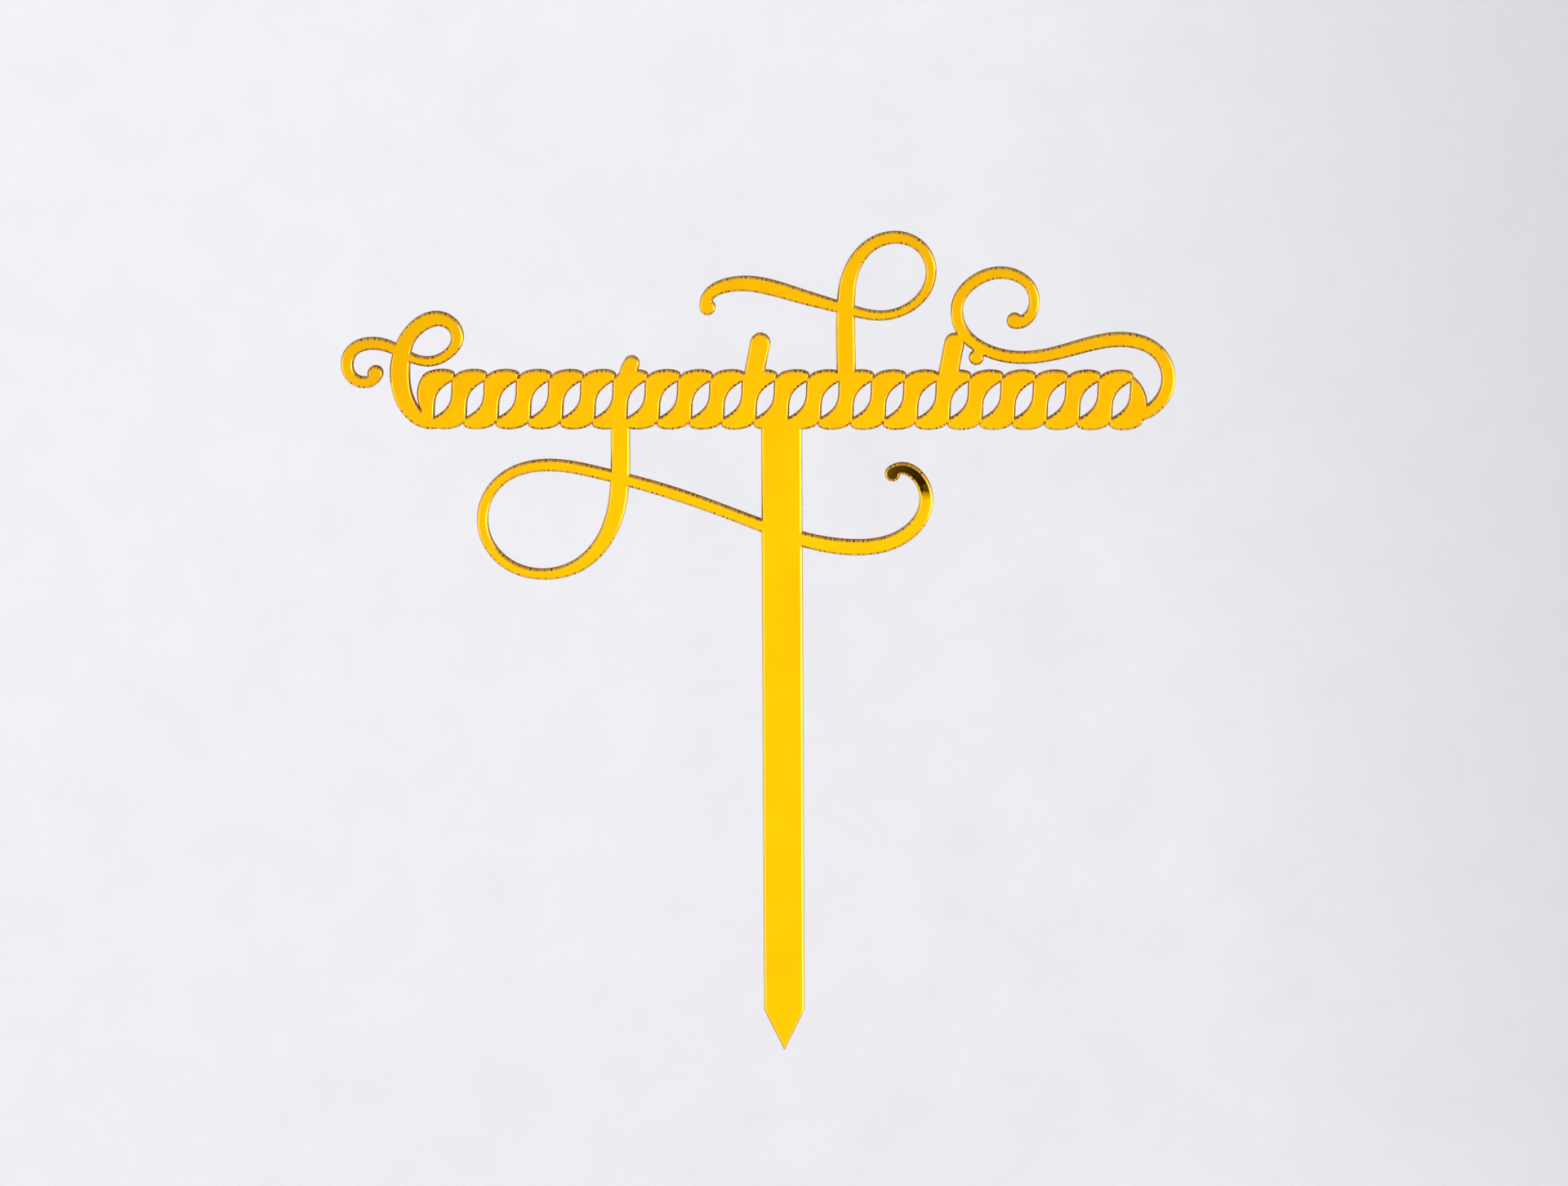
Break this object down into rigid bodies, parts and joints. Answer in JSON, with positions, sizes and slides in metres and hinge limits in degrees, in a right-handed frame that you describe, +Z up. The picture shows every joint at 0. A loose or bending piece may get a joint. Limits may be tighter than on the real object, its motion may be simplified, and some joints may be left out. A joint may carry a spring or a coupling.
{
  "type": "cake topper",
  "caption": "Gold mirror acrylic cake topper, laser-cut flat: a pointed stake carries a twisted band with looping pen flourishes, and is pushed into a cake to stand upright.",
  "frame": {"origin": "tip of the stake, on its centre line and half way through the sheet", "axes": "+X along the band, to the viewer's right; +Y from the mirror face in front to the painted back; +Z up along the stake"},
  "size_m": [0.1498, 0.002, 0.1489],
  "materials": {
    "acrylic": "polished",
    "mirror": "polished",
    "paint": "matte"
  },
  "bodies": {
    "root": {"stake": "acrylic", "twist_band": "acrylic", "opening_scroll": "acrylic", "tall_loop": "acrylic", "end_scroll": "acrylic", "lower_loop": "acrylic", "tail_curl": "acrylic", "mirror_coat": "mirror", "back_paint": "paint"}
  },
  "joints": []
}
